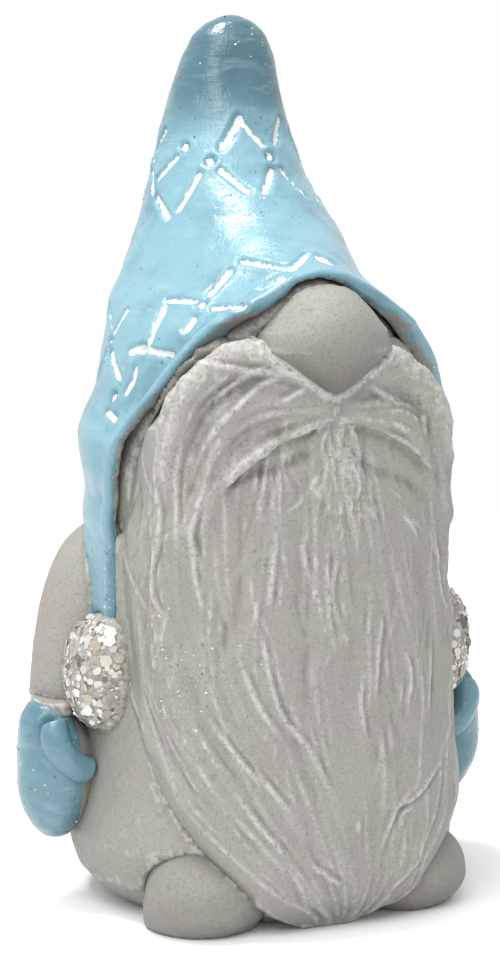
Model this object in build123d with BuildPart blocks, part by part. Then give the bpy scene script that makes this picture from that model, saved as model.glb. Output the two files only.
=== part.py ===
from build123d import *
import os
from math import cos, pi, sin

# Garden gnome, cast solid in cement. Millimetres, +Z up, the gnome looks along -Y and its
# right hand is on -X. The origin is the middle of the flat base that it stands on.
# The casting is divided into its sculpted features. Each is a closed solid, and where two
# of them meet, the later one is cut back to the face of the earlier one.

# Driving dimensions
HEIGHT = 200.0          # base to the tip of the hat
HAT_EDGE = 86.0         # height of the hat's lower edge at the back and sides
FACE_TOP = 143.5        # highest point of the face opening
FRONT_PLANE = -7.6      # below the hat, the beard's solid reaches back to this plane
TOOL_REACH = 60.0       # how far cutting tools run past the figure
SKIN_HALF_WIDTH = 38.6  # half width of the surface that the hair lies on
HAIR_FULLNESS = 2.4     # superellipse exponent of that surface, 2 is an ellipse
MOUSTACHE_RELIEF = 2.2  # how far the moustache stands proud of the beard
TUFT_RELIEF = 1.2       # how far the tuft under the lip stands proud
FLAP_OUTSIDE = 41.4     # outer face of an ear flap
FLAP_THICKNESS = 6.0
POMPOM_PLACE = (42.0, -3.0, 55.5)
POMPOM_RADII = (7.7, 7.7, 13.0)
MITTEN_PLACE = (49.4, 6.0, 30.0)
MITTEN_RADII = (8.6, 10.0, 16.0)
CUFF_PLACE = (49.2, 7.0, 44.5)
CUFF_RADII = (5.2, 8.2)
CUFF_HEIGHT = 3.0
FOOT_PLACE = (24.5, -25.0, 6.0)
FOOT_RADII = (13.0, 14.0, 12.9)
NOSE_PLACE = (0.0, -29.0, 131.5)
NOSE_RADII = (15.6, 13.5, 10.4)
OUTLINE_POINTS = 16     # points on an outline that isn't a plain ellipse

os.makedirs("parts", exist_ok=True)


def signed_power(value, exponent):
    size = abs(value) ** exponent
    return size if value >= 0 else -size


def outline(z, half_width, front, back, taper=0.0, fullness=2.0):
    """A closed horizontal outline at height z. A taper above 0 narrows its front.

    It starts and ends at the back, so that the seam of a loft lies there.
    """
    centre_y = (front + back) / 2
    half_depth = (back - front) / 2
    points = []
    for i in range(OUTLINE_POINTS):
        angle = pi + 2 * pi * i / OUTLINE_POINTS
        across = signed_power(sin(angle), 2 / fullness) * (1 - taper * cos(angle))
        along = signed_power(cos(angle), 2 / fullness)
        points.append((half_width * across, centre_y - half_depth * along))
    with BuildSketch(Plane.XY.offset(z)) as section:
        with BuildLine():
            Spline(*points, periodic=True)
        make_face()
    return section.sketch


def ellipse_stack(rows, side):
    """Loft plain ellipses given as height, middle x, half width, front and back."""
    sections = []
    for z, middle, half_width, front, back in rows:
        place = Plane((side * middle, (front + back) / 2, z))
        with BuildSketch(place) as section:
            Ellipse(half_width, (back - front) / 2)
        sections.append(section.sketch)
    loft(sections)


def ellipsoid(place, radii, side=1):
    """A ball stretched to three radii."""
    x, y, z = place
    ball = Sphere(1, mode=Mode.PRIVATE)
    stretched = scale(ball, by=radii, mode=Mode.PRIVATE)
    add(stretched.moved(Location((side * x, y, z))))


def limb(stations, side):
    """Loft circles along a path given as x, y, z and radius."""
    places = [Vector(side * x, y, z) for x, y, z, _ in stations]
    last = len(places) - 1
    sections = []
    for i, (*_, radius) in enumerate(stations):
        heading = places[min(i + 1, last)] - places[max(i - 1, 0)]
        with BuildSketch(Plane(origin=places[i], z_dir=heading)) as section:
            Circle(radius)
        sections.append(section.sketch)
    loft(sections)


def cut_back(*neighbours):
    """Cut the part being built back to the faces of the ones it meets."""
    for neighbour in neighbours:
        add(neighbour.part, mode=Mode.SUBTRACT)


def finish(part, name):
    part.label = name
    export_step(part, f"parts/{name}.step")


# The space in front of the hat's brim. Its profile is the brim's edge seen from the side.
BRIM_PROFILE = [
    (-31.1, FACE_TOP),
    (-31.3, 139.5),
    (-30.0, 134.7),
    (-27.1, 130.6),
    (-20.2, 119.7),
    (-14.0, 109.7),
    (-9.0, 96.0),
    (FRONT_PLANE, HAT_EDGE),
]

with BuildPart() as front_space:
    with BuildSketch(Plane.YZ):
        with BuildLine():
            Spline(*BRIM_PROFILE)
            Polyline(
                BRIM_PROFILE[-1],
                (FRONT_PLANE, 0),
                (-TOOL_REACH, 0),
                (-TOOL_REACH, FACE_TOP),
                BRIM_PROFILE[0],
            )
        make_face()
    extrude(amount=TOOL_REACH, both=True)

# The surface that the hair lies on, as height, front and back
HAIR_SURFACE = [
    (0.0, -38.0, 26.0),
    (6.0, -40.8, 30.0),
    (15.0, -43.0, 32.0),
    (32.0, -44.0, 32.0),
    (60.0, -44.0, 32.0),
    (85.0, -41.0, 30.0),
    (103.0, -37.6, 28.0),
    (121.0, -34.5, 25.0),
    (134.0, -31.0, 22.0),
]

# Moustache lobe on the +X side, as (x, z): its upper edge, then its lower edge
LOBE_TOP = [(0, 121.8), (5, 122.8), (14, 128.0), (21, 130.8), (29, 127.5), (35, 117), (37.6, 88)]
LOBE_FOOT = [(37.6, 88), (31, 87.5), (26, 96), (19.5, 104.8), (10, 109.8), (0, 113)]

# Half of the beard's edge, from the ground up to the cheek
BEARD_EDGE = [
    (6, 0),
    (16.7, 6.5),
    (28, 19.5),
    (34.2, 31),
    (37.2, 54),
    (37.9, 74),
    (37.0, 101),
    (35.5, 114),
]
TUFT_EDGE = [(0, 113), (4.5, 110.5), (6.6, 104), (4.6, 97), (0, 92)]


def half_outline(points, side):
    return [(side * x, z) for x, z in points]


def lobe_area(side, mode=Mode.ADD):
    with BuildLine() as edge:
        top = Spline(*half_outline(LOBE_TOP, side))
        foot = Spline(*half_outline(LOBE_FOOT, side))
        Line(foot @ 1, top @ 0)
    make_face(edge.edges(), mode=mode)


def tuft_area(mode=Mode.ADD):
    with BuildLine() as edge:
        Spline(*half_outline(TUFT_EDGE, 1))
        Spline(*half_outline(TUFT_EDGE, -1))
    make_face(edge.edges(), mode=mode)


def beard_area():
    with BuildLine() as edge:
        right = Spline(*half_outline(BEARD_EDGE, 1))
        left = Spline(*half_outline(BEARD_EDGE, -1))
        Line(right @ 0, left @ 0)
        Line(right @ 1, left @ 1)
    make_face(edge.edges())


def hair_piece(area, relief):
    """Stand an area out from the body as far as the hair's surface, plus its relief."""
    extrude(area, amount=TOOL_REACH)
    rows = [(z, SKIN_HALF_WIDTH + relief, front - relief, back) for z, front, back in HAIR_SURFACE]
    surface = loft(
        [outline(*row, 0.0, HAIR_FULLNESS) for row in rows],
        ruled=True,
        mode=Mode.PRIVATE,
    )
    add(surface, mode=Mode.INTERSECT)
    add(front_space.part, mode=Mode.INTERSECT)


# The block of body that the hair takes the place of: all its areas, cut off by no surface
with BuildPart() as hair_block:
    with BuildSketch(Plane.XZ) as hair:
        beard_area()
        lobe_area(1)
        lobe_area(-1)
    extrude(hair.sketch, amount=TOOL_REACH)
    add(front_space.part, mode=Mode.INTERSECT)

# Moustache: two lobes that meet under the nose and flow into the beard's outer locks
with BuildPart() as moustache_left:
    with BuildSketch(Plane.XZ) as lobe_left:
        lobe_area(1)
    hair_piece(lobe_left.sketch, MOUSTACHE_RELIEF)
finish(moustache_left.part, "moustache_left")

with BuildPart() as moustache_right:
    with BuildSketch(Plane.XZ) as lobe_right:
        lobe_area(-1)
    hair_piece(lobe_right.sketch, MOUSTACHE_RELIEF)
finish(moustache_right.part, "moustache_right")

# Tuft of short hair under the lip
with BuildPart() as lip_tuft:
    with BuildSketch(Plane.XZ) as tuft:
        tuft_area()
        lobe_area(1, Mode.SUBTRACT)
        lobe_area(-1, Mode.SUBTRACT)
    hair_piece(tuft.sketch, TUFT_RELIEF)
finish(lip_tuft.part, "lip_tuft")

# Beard: a full apron of hair from the cheeks to a blunt tip between the boots
with BuildPart() as beard:
    with BuildSketch(Plane.XZ) as apron:
        beard_area()
        lobe_area(1, Mode.SUBTRACT)
        lobe_area(-1, Mode.SUBTRACT)
        tuft_area(Mode.SUBTRACT)
    hair_piece(apron.sketch, 0)
finish(beard.part, "beard")

# Nose: a broad soft bulb between the brim and the moustache
with BuildPart() as nose:
    ellipsoid(NOSE_PLACE, NOSE_RADII)
    add(front_space.part, mode=Mode.INTERSECT)
    cut_back(moustache_left, moustache_right)
finish(nose.part, "nose")

# Head: only a narrow band of it shows between the hat's brim and the beard
HEAD = [
    (HAT_EDGE, 39.6, -36.5, 36.0, 0.0),
    (100.0, 39.8, -36.5, 36.0, 0.0),
    (112.0, 37.9, -35.0, 36.5, 0.0),
    (124.0, 34.3, -33.5, 36.0, 0.08),
    (131.0, 31.5, -35.5, 35.5, 0.2),
    (136.0, 27.5, -36.5, 35.0, 0.38),
    (140.0, 22.0, -34.0, 33.5, 0.4),
    (143.0, 15.0, -27.5, 30.0, 0.4),
]

with BuildPart() as head:
    loft([outline(*row) for row in HEAD], ruled=True)
    cut_back(hair_block, nose)
finish(head.part, "head")

# Hat: a tall soft cone that leans back, as height, half width, front, back and taper
HAT = [
    (HAT_EDGE, 41.6, -40.5, 39.0, 0.0),
    (100.0, 42.3, -40.5, 39.0, 0.0),
    (112.0, 40.6, -40.0, 39.5, 0.0),
    (124.0, 37.2, -41.5, 39.5, 0.08),
    (131.0, 33.4, -44.0, 39.5, 0.2),
    (136.4, 29.5, -44.0, 39.5, 0.4),
    (141.0, 26.0, -36.5, 39.8, 0.45),
    (145.2, 24.6, -27.5, 40.0, 0.4),
    (155.0, 21.0, -8.5, 40.2, 0.2),
    (163.4, 18.0, 2.0, 39.3, 0.05),
    (172.5, 15.3, 7.4, 38.0, 0.0),
    (181.7, 13.0, 10.0, 36.0, 0.0),
    (190.8, 10.4, 11.7, 32.5, 0.0),
    (195.4, 8.2, 13.0, 29.4, 0.0),
    (198.4, 5.2, 15.4, 25.8, 0.0),
    (HEIGHT, 1.6, 18.6, 21.8, 0.0),
]

with BuildPart() as hat:
    loft([outline(*row) for row in HAT], ruled=True)
    cut_back(front_space, head)
finish(hat.part, "hat")

# Pompoms, one at the foot of each ear flap
with BuildPart() as pompom_left:
    ellipsoid(POMPOM_PLACE, POMPOM_RADII)
    cut_back(beard)
finish(pompom_left.part, "pompom_left")

with BuildPart() as pompom_right:
    ellipsoid(POMPOM_PLACE, POMPOM_RADII, -1)
    cut_back(beard)
finish(pompom_right.part, "pompom_right")

# Ear flaps: straps that hang from the hat's edge down to the pompoms, as (y, z)
FLAP_EDGE = [(9.0, HAT_EDGE), (5.0, 79.0), (2.4, 72.0), (1.2, 64.0), (-7.0, 64.0), (FRONT_PLANE, HAT_EDGE)]


def flap_body(side):
    inside = FLAP_OUTSIDE - FLAP_THICKNESS
    with BuildSketch(Plane.YZ.offset(side * inside)) as strap:
        with BuildLine():
            Polyline(*FLAP_EDGE, close=True)
        make_face()
    extrude(strap.sketch, amount=side * FLAP_THICKNESS)


with BuildPart() as ear_flap_left:
    flap_body(1)
    cut_back(pompom_left, beard)
finish(ear_flap_left.part, "ear_flap_left")

with BuildPart() as ear_flap_right:
    flap_body(-1)
    cut_back(pompom_right, beard)
finish(ear_flap_right.part, "ear_flap_right")


# Cuffs: the narrow ledge between sleeve and mitten
def cuff_body(side):
    x, y, z = CUFF_PLACE
    with BuildSketch(Plane((side * x, y, z))) as ledge:
        Ellipse(*CUFF_RADII)
    extrude(ledge.sketch, amount=CUFF_HEIGHT)


with BuildPart() as cuff_left:
    cuff_body(1)
    cut_back(pompom_left)
finish(cuff_left.part, "cuff_left")

with BuildPart() as cuff_right:
    cuff_body(-1)
    cut_back(pompom_right)
finish(cuff_right.part, "cuff_right")

# Sleeves: they leave the coat under the hat's edge and hang beside it
SLEEVE = [
    (46.3, 41.9, 10.4, 0.5, 22.0),
    (60.0, 39.4, 11.6, 0.0, 23.8),
    (72.0, 36.2, 12.0, 1.0, 25.0),
    (80.0, 34.8, 9.6, 3.0, 23.5),
    (HAT_EDGE, 33.0, 4.0, 8.5, 17.5),
]

with BuildPart() as sleeve_left:
    ellipse_stack(SLEEVE, 1)
    cut_back(pompom_left, ear_flap_left, cuff_left)
finish(sleeve_left.part, "sleeve_left")

with BuildPart() as sleeve_right:
    ellipse_stack(SLEEVE, -1)
    cut_back(pompom_right, ear_flap_right, cuff_right)
finish(sleeve_right.part, "sleeve_right")

# Thumbs: each lies along the front of its mitten and ends against the coat
THUMB = [
    (51.8, -1.6, 43.8, 3.2),
    (51.4, -3.8, 38.0, 3.6),
    (48.2, -4.8, 34.6, 3.0),
    (42.4, -4.4, 32.8, 2.2),
]

with BuildPart() as thumb_left:
    limb(THUMB, 1)
    cut_back(cuff_left)
finish(thumb_left.part, "thumb_left")

with BuildPart() as thumb_right:
    limb(THUMB, -1)
    cut_back(cuff_right)
finish(thumb_right.part, "thumb_right")

# Mittens: flat hands that hang beside the coat with the fingers together
with BuildPart() as mitten_left:
    ellipsoid(MITTEN_PLACE, MITTEN_RADII)
    cut_back(cuff_left, sleeve_left, thumb_left)
finish(mitten_left.part, "mitten_left")

with BuildPart() as mitten_right:
    ellipsoid(MITTEN_PLACE, MITTEN_RADII, -1)
    cut_back(cuff_right, sleeve_right, thumb_right)
finish(mitten_right.part, "mitten_right")


# Boots: only the round toes show under the beard and the coat
def foot_body(side):
    ellipsoid(FOOT_PLACE, FOOT_RADII, side)
    split(bisect_by=Plane.XY, keep=Keep.TOP)
    cut_back(hair_block)


with BuildPart() as foot_left:
    foot_body(1)
finish(foot_left.part, "foot_left")

with BuildPart() as foot_right:
    foot_body(-1)
finish(foot_right.part, "foot_right")

# Coat: the stout body, with a rounded hem, as height, half width, front and back
COAT = [
    (0.0, 32.0, -28.0, 34.0),
    (3.0, 36.5, -32.0, 38.0),
    (8.0, 41.0, -36.0, 42.2),
    (17.0, 43.0, -38.0, 44.0),
    (40.0, 42.5, -37.6, 43.4),
    (70.0, 40.8, -37.2, 39.8),
    (HAT_EDGE, 40.4, -37.0, 36.5),
]

with BuildPart() as coat:
    loft([outline(*row) for row in COAT], ruled=True)
    cut_back(hair_block, foot_left, foot_right, pompom_left, pompom_right)
    cut_back(ear_flap_left, ear_flap_right, sleeve_left, sleeve_right)
    cut_back(cuff_left, cuff_right, thumb_left, thumb_right, mitten_left, mitten_right)
finish(coat.part, "coat")
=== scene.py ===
"""The looks of a garden gnome, a painted cement casting with glittered pompoms.

Each feature of the casting is a CAD solid. Here it becomes a fine mesh that is carved with
height maps, then gets cement, gloss paint or glitter. Carving works in millimetres, with +Z
up and the gnome's face towards -Y, and the finished points go back to metres.
"""

import bpy
import numpy as np
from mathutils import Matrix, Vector
from mathutils.bvhtree import BVHTree


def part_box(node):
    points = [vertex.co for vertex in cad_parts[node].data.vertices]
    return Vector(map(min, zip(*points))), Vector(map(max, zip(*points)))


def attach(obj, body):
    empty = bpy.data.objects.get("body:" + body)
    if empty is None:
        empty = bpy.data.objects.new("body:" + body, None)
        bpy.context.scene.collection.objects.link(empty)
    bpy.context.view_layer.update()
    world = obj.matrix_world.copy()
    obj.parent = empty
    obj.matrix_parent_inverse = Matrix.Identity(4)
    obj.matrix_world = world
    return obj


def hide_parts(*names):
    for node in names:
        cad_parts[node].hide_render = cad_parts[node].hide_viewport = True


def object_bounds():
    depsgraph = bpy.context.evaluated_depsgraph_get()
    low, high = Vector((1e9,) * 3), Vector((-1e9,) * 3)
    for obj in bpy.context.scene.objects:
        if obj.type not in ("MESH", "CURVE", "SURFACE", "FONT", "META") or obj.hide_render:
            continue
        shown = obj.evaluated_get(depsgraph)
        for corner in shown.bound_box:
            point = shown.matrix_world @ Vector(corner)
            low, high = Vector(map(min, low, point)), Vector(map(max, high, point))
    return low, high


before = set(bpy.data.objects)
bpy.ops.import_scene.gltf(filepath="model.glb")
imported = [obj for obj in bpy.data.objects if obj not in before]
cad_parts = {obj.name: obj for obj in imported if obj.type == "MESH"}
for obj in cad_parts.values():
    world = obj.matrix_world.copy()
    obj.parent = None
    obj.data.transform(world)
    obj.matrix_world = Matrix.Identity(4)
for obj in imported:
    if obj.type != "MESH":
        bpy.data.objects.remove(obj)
cad_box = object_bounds()
rng = np.random.default_rng(11)

MM = 0.001
# The gnome's own left is towards +X
SIDES = {"left": 1, "right": -1}

# -------------------- tools for carving


def corners(box):
    """A box's low and high corners, in millimetres."""
    return [np.array(corner) / MM for corner in box]


LOWEST, HIGHEST = corners(cad_box)
GROUND, HAT_TIP = LOWEST[2], HIGHEST[2]
BACK_OF_BEARD = corners(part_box("beard"))[1][1]
# A distance from the figure's middle line that is well outside it
OUTSIDE = 100


def smoothstep(low, high, value):
    share = np.clip((value - low) / (high - low), 0, 1)
    return share * share * (3 - 2 * share)


def bell(distance, width):
    return np.exp(-((distance / width) ** 2))


def curve_through(points, spacing=0.3):
    """A smooth path through a few points, as points about spacing millimetres apart."""
    points = np.asarray(points, float)
    padded = np.vstack([2 * points[0] - points[1], points, 2 * points[-1] - points[-2]])
    pieces = []
    for before, start, end, after in zip(padded, padded[1:], padded[2:], padded[3:]):
        steps = max(2, int(np.linalg.norm(end - start) / spacing))
        t = np.linspace(0, 1, steps, endpoint=False)[:, None]
        bend = 2 * before - 5 * start + 4 * end - after
        twist = 3 * start - before - 3 * end + after
        pieces.append((2 * start + (end - before) * t + bend * t**2 + twist * t**3) / 2)
    return np.vstack(pieces + [points[-1:]])


def noise(points, size, seed):
    """Smooth noise from -1 to 1, with lumps about size across. size may be one per axis."""
    lattice = np.random.default_rng(seed).uniform(-1, 1, (32, 32, 32))
    place = points / np.asarray(size, float) + 7.3
    cell = np.floor(place).astype(int)
    part = place - cell
    part = part * part * (3 - 2 * part)
    total = np.zeros(len(points))
    for corner in np.ndindex(2, 2, 2):
        weight = np.prod(np.where(corner, part, 1 - part), axis=1)
        total += weight * lattice[tuple(((cell + corner) % 32).T)]
    return total


class Relief:
    """A height map wrapped round the figure: across by arc length at RADIUS, and up."""

    STEP = 0.3
    RADIUS = 38.0

    def __init__(self, reach, low, high):
        self.low = np.array([-reach, low])
        self.shape = tuple((np.array([2 * reach, high - low]) / self.STEP).astype(int) + 2)
        self.height = np.zeros(self.shape)
        self.pale = np.zeros(self.shape)

    def centres(self):
        across, up = np.indices(self.shape) * self.STEP
        return across + self.low[0], up + self.low[1]

    def carve(self, path, width, ridge=0.0, groove=0.0, beside=0.0, pale=0.0, ends=0.25):
        """A ridge along a path, with a groove at a distance beside it, thinning at its ends."""
        path = curve_through(path)
        reach = 3 * width + abs(beside)
        first = np.maximum(((path.min(0) - reach - self.low) / self.STEP).astype(int), 0)
        last = ((path.max(0) + reach - self.low) / self.STEP).astype(int) + 1
        window = tuple(slice(a, max(a, b)) for a, b in zip(first, np.minimum(last, self.shape)))
        across, up = (grid[window] for grid in self.centres())
        if across.size == 0:
            return
        cells = np.stack([across.ravel(), up.ravel()], 1)
        gaps = ((cells[:, None] - path[None]) ** 2).sum(2)
        nearest = gaps.argmin(1)
        away = np.sqrt(gaps[np.arange(len(cells)), nearest])
        heading = np.gradient(path, axis=0)[nearest]
        offset = cells - path[nearest]
        side = np.sign(heading[:, 0] * offset[:, 1] - heading[:, 1] * offset[:, 0])
        along = nearest / (len(path) - 1)
        taper = smoothstep(0, ends, along) * smoothstep(0, ends, 1 - along)
        rise = ridge * bell(away, width) * taper
        cut = groove * bell(away * side - beside, width * 0.8) * taper
        self.height[window] += (rise - cut).reshape(across.shape)
        mark = pale * bell(away, width * 0.75) * taper
        self.pale[window] = np.maximum(self.pale[window], mark.reshape(across.shape))

    def sample(self, points):
        """The map's height and its paleness at each point of a mesh."""
        place = (wrap(points) - self.low) / self.STEP
        place = np.clip(place, 0, np.array(self.shape) - 1.001)
        cell = place.astype(int)
        part = place - cell
        i, j = cell.T
        a, b = part.T
        found = []
        for grid in (self.height, self.pale):
            lower = grid[i, j] * (1 - a) + grid[i + 1, j] * a
            upper = grid[i, j + 1] * (1 - a) + grid[i + 1, j + 1] * a
            found.append(lower * (1 - b) + upper * b)
        return found


def wrap(points):
    """Arc length from the front line, and height."""
    angle = np.arctan2(points[:, 0], -points[:, 1])
    return np.stack([Relief.RADIUS * angle, points[:, 2]], 1)


def surface_of(nodes):
    """The points, in millimetres, and the faces of some CAD nodes together."""
    points, faces = [], []
    for node in nodes:
        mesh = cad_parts[node].data
        start = len(points)
        points += [vertex.co / MM for vertex in mesh.vertices]
        faces += [[start + i for i in face.vertices] for face in mesh.polygons]
    return points, faces


def vectors(items, name):
    """A vector property of each item in a mesh's collection."""
    values = np.empty(len(items) * 3)
    items.foreach_get(name, values)
    return values.reshape(-1, 3)


def tree_of(*nodes):
    """The surface of some CAD nodes, for finding points on it."""
    return BVHTree.FromPolygons(*surface_of(nodes))


def seen_from_front(tree, x, z):
    """The first point of a surface on a level line from the front, or None."""
    return tree.ray_cast(Vector((x, -OUTSIDE, z)), Vector((0, 1, 0)))[0]


def seen_from(tree, bearing, middle):
    """A surface's outer point, level with middle and at a bearing in degrees from the front."""
    angle = np.radians(bearing)
    outward = Vector((np.sin(angle), -np.cos(angle), 0))
    return np.array(tree.ray_cast(middle + outward * OUTSIDE, -outward)[0])


def away_from_middle(points):
    """The level direction from the figure's middle line to each point."""
    outward = points * (1, 1, 0)
    return outward / np.linalg.norm(outward, axis=1)[:, None]


def distance_along(points, path):
    """The distance from each point to a path of a few points."""
    return np.min([np.linalg.norm(points - step, axis=1) for step in path], axis=0)


class Clay:
    """A feature of the casting as a fine closed mesh, which may reach under its neighbours."""

    # How far from a seam the surface is smoothed, and how far it is raised there
    SEAM_WIDTH, SEAM_RISE = 1.3, 0.42
    # The depths at which small and broad hollows are marked in full, for the painted shade in them
    SMALL_HOLLOW, BROAD_HOLLOW = 0.13, 0.7

    def __init__(self, node, grain, soften=4, reach_under=()):
        self.node = node
        points, faces = surface_of([node, *reach_under])
        mesh = bpy.data.meshes.new(node)
        mesh.from_pydata([point * MM for point in points], [], faces)
        self.piece = bpy.data.objects.new("gnome_" + node, mesh)
        bpy.context.collection.objects.link(self.piece)
        weld = self.piece.modifiers.new("weld", "WELD")
        weld.merge_threshold = 0.01 * MM
        remesh = self.piece.modifiers.new("remesh", "REMESH")
        remesh.mode = "VOXEL"
        remesh.voxel_size = grain * MM
        smooth = self.piece.modifiers.new("smooth", "SMOOTH")
        smooth.factor = 0.5
        smooth.iterations = soften
        self.apply()
        self.marks = {}

    def apply(self):
        depsgraph = bpy.context.evaluated_depsgraph_get()
        mesh = bpy.data.meshes.new_from_object(self.piece.evaluated_get(depsgraph))
        self.piece.modifiers.clear()
        self.piece.data = mesh
        self.points = vectors(mesh.vertices, "co") / MM
        edges = np.empty(len(mesh.edges) * 2, int)
        mesh.edges.foreach_get("vertices", edges)
        self.edges = edges.reshape(-1, 2)

    def normals(self):
        mesh = self.piece.data
        mesh.vertices.foreach_set("co", (self.points * MM).ravel())
        mesh.update()
        return vectors(mesh.vertex_normals, "vector")

    def push(self, height):
        """Move each point out along its normal."""
        self.points = self.points + self.normals() * np.asarray(height)[:, None]

    def averaged(self, values, rounds):
        """Values blurred over the mesh's edges."""
        ends = np.concatenate([self.edges, self.edges[:, ::-1]])
        count = np.bincount(ends[:, 0], minlength=len(values))[:, None]
        flat = values.reshape(len(values), -1)
        for _ in range(rounds):
            sums = [np.bincount(ends[:, 0], column[ends[:, 1]], len(values)) for column in flat.T]
            flat = (flat + np.stack(sums, 1) / count) / 2
        return flat.reshape(values.shape)

    def distance_to(self, tree, reach=6.0):
        """How far each point is from a surface, up to reach."""
        found = np.full(len(self.points), reach)
        for i, point in enumerate(self.points):
            gap = tree.find_nearest(Vector(point), reach)[3]
            if gap is not None:
                found[i] = gap
        return found

    def behind(self, *nodes):
        """Which points lie in line with some CAD nodes, seen from the front."""
        tree = tree_of(*nodes)
        hits = [seen_from_front(tree, x, z) for x, _, z in self.points]
        return np.array([hit is not None for hit in hits], float)

    def skin(self):
        """Its carved surface, for the pieces that meet it."""
        faces = [list(face.vertices) for face in self.piece.data.polygons]
        return BVHTree.FromPolygons([Vector(point) for point in self.points], faces)

    def lumps(self, seed, coarse=0.3, fine=0.07):
        """The uneven surface of hand-modelled clay, smoother along its seams."""
        open_ground = 1 - self.marks.get("seam", np.zeros(len(self.points)))
        self.push(
            coarse * noise(self.points, 13, seed)
            + 0.4 * coarse * noise(self.points, 5.5, seed + 1) * (0.3 + 0.7 * open_ground)
            + fine * noise(self.points, 2.1, seed + 2) * open_ground
        )

    def pits(self, count, seed):
        """Small round holes where air bubbles met the mould."""
        draw = np.random.default_rng(seed)
        depth = np.zeros(len(self.points))
        for centre in self.points[draw.integers(0, len(self.points), count)]:
            size = draw.uniform(0.3, 0.75)
            depth += 0.4 * size * bell(np.linalg.norm(self.points - centre, axis=1), size)
        self.push(-depth)
        self.marks["pit"] = np.clip(depth / 0.4, 0, 1)

    def seal(self, neighbours):
        """Close the hairline gaps to the features beside this one, and note how near they are."""
        if neighbours:
            gap = self.averaged(self.distance_to(tree_of(*neighbours), 5.0), 5)
            by_seam = bell(gap, self.SEAM_WIDTH)[:, None]
            self.points += by_seam * (self.averaged(self.points, 8) - self.points)
            self.push(self.SEAM_RISE * bell(gap, 1.0))
            self.marks["seam"] = 1 - smoothstep(0.2, 3.2, gap)

    def finish(self, material):
        """Write the mesh with its marks, and put it in place of its CAD node."""
        # Nothing reaches below the ground or outside the CAD's overall box
        self.points = np.clip(self.points, LOWEST, HIGHEST)
        flow = self.normals()
        hollow = ((self.averaged(self.points, 5) - self.points) * flow).sum(1)
        self.marks["hollow"] = np.clip(hollow / self.SMALL_HOLLOW, -1, 1)
        # Broad hollows are darkened as painted shade
        broad = ((self.averaged(self.points, 45) - self.points) * flow).sum(1)
        shade = self.marks.get("shade", np.zeros(len(broad)))
        shade = shade + 0.5 * np.clip(broad / self.BROAD_HOLLOW, 0, 1)
        self.marks["shade"] = np.clip(shade, 0, 0.9)
        mesh = self.piece.data
        for name, values in self.marks.items():
            attribute = mesh.attributes.new(name, "FLOAT", "POINT")
            attribute.data.foreach_set("value", values.astype(np.float32))
        mesh.shade_smooth()
        mesh.materials.clear()
        mesh.materials.append(material)
        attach(self.piece, "root")
        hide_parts(self.node)


# -------------------- materials


class Nodes:
    """A short way to write a material's nodes."""

    def __init__(self, name):
        self.material = bpy.data.materials.new(name)
        self.material.use_nodes = True
        self.tree = self.material.node_tree
        self.shader = self.tree.nodes["Principled BSDF"]
        self.place = self.add("ShaderNodeTexCoord").outputs["Object"]

    def add(self, kind, **settings):
        node = self.tree.nodes.new(kind)
        for key, value in settings.items():
            setattr(node, key, value)
        return node

    def put(self, socket, value):
        if isinstance(value, bpy.types.NodeSocket):
            self.tree.links.new(value, socket)
        else:
            socket.default_value = value

    def mark(self, name):
        return self.add("ShaderNodeAttribute", attribute_name=name).outputs["Fac"]

    def noise(self, size, detail=3.0, stretch=(1, 1, 1), roughness=0.55, distortion=0.0):
        """Noise with features about size millimetres across."""
        mapping = self.add("ShaderNodeMapping")
        self.put(mapping.inputs["Vector"], self.place)
        mapping.inputs["Scale"].default_value = stretch
        texture = self.add("ShaderNodeTexNoise")
        self.put(texture.inputs["Vector"], mapping.outputs["Vector"])
        texture.inputs["Scale"].default_value = 1000 / size
        texture.inputs["Detail"].default_value = detail
        texture.inputs["Roughness"].default_value = roughness
        texture.inputs["Distortion"].default_value = distortion
        return texture.outputs["Fac"]

    def ramp(self, value, low, high, start=0.0, end=1.0):
        node = self.add("ShaderNodeMapRange", interpolation_type="SMOOTHSTEP")
        for socket, number in zip(node.inputs, (value, low, high, start, end)):
            self.put(socket, number)
        return node.outputs["Result"]

    def math(self, operation, first, second):
        node = self.add("ShaderNodeMath", operation=operation)
        self.put(node.inputs[0], first)
        self.put(node.inputs[1], second)
        return node.outputs["Value"]

    def mix(self, share, first, second):
        node = self.add("ShaderNodeMix", data_type="RGBA")
        self.put(node.inputs[0], share)
        for socket, colour in zip(node.inputs[6:8], (first, second)):
            self.put(socket, colour if isinstance(colour, bpy.types.NodeSocket) else (*colour, 1))
        return node.outputs[2]

    def bump(self, height, depth, under=None):
        """A bump of depth millimetres, on top of another bump."""
        node = self.add("ShaderNodeBump")
        node.inputs["Distance"].default_value = depth * MM
        self.put(node.inputs["Height"], height)
        if under:
            self.put(node.inputs["Normal"], under)
        return node.outputs["Normal"]


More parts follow.
